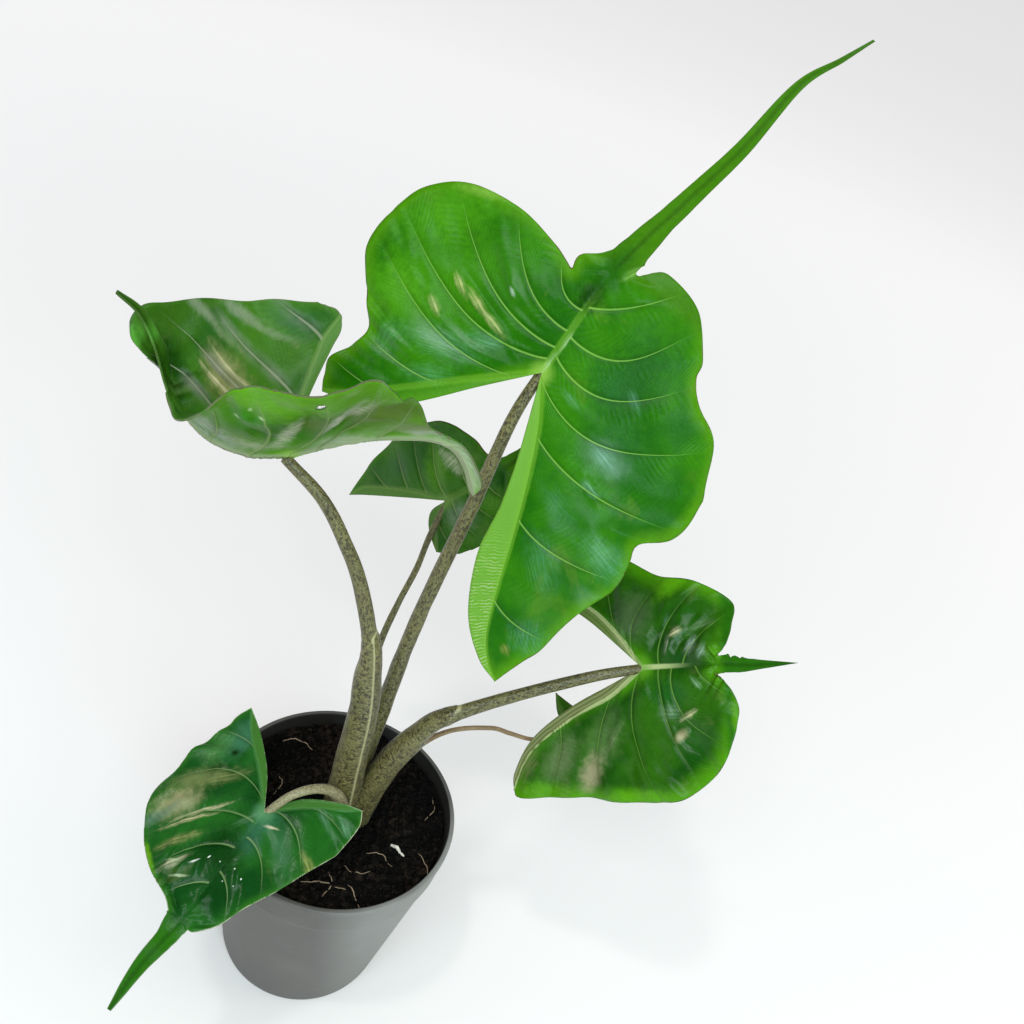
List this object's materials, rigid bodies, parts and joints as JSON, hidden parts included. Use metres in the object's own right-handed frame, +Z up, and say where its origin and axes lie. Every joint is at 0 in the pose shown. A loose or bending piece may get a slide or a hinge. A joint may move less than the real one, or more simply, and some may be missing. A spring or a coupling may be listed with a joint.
{
  "type": "potted stingray alocasia",
  "caption": "Potted stingray alocasia: fish-shaped leaves with long thin tails on mottled stalks, rising from soil in a plain round nursery pot.",
  "frame": {"origin": "middle of the pot's flat underside", "axes": "+Z up through the pot's axis; the right leaf points towards +X and the front leaf towards -Y"},
  "size_m": [0.2847, 0.2163, 0.4967],
  "materials": {
    "nursery_pot": "satin",
    "potting_soil": "matte",
    "stalk_mottled": "satin",
    "stalk_brown": "satin",
    "stalk_tan": "satin",
    "leaf_bright": "satin",
    "leaf_dull": "satin",
    "leaf_dark": "satin"
  },
  "bodies": {
    "root": {"pot": "nursery_pot", "soil": "potting_soil", "petiole_tall": "stalk_mottled", "petiole_back": "stalk_mottled", "petiole_left": "stalk_mottled", "petiole_right": "stalk_mottled", "petiole_front": "stalk_brown", "petiole_small": "stalk_tan", "blade_tall": "leaf_bright", "blade_left": "leaf_dull", "blade_back": "leaf_dark", "blade_right": "leaf_dark", "blade_front": "leaf_dark", "blade_small": "leaf_dark"}
  },
  "joints": []
}
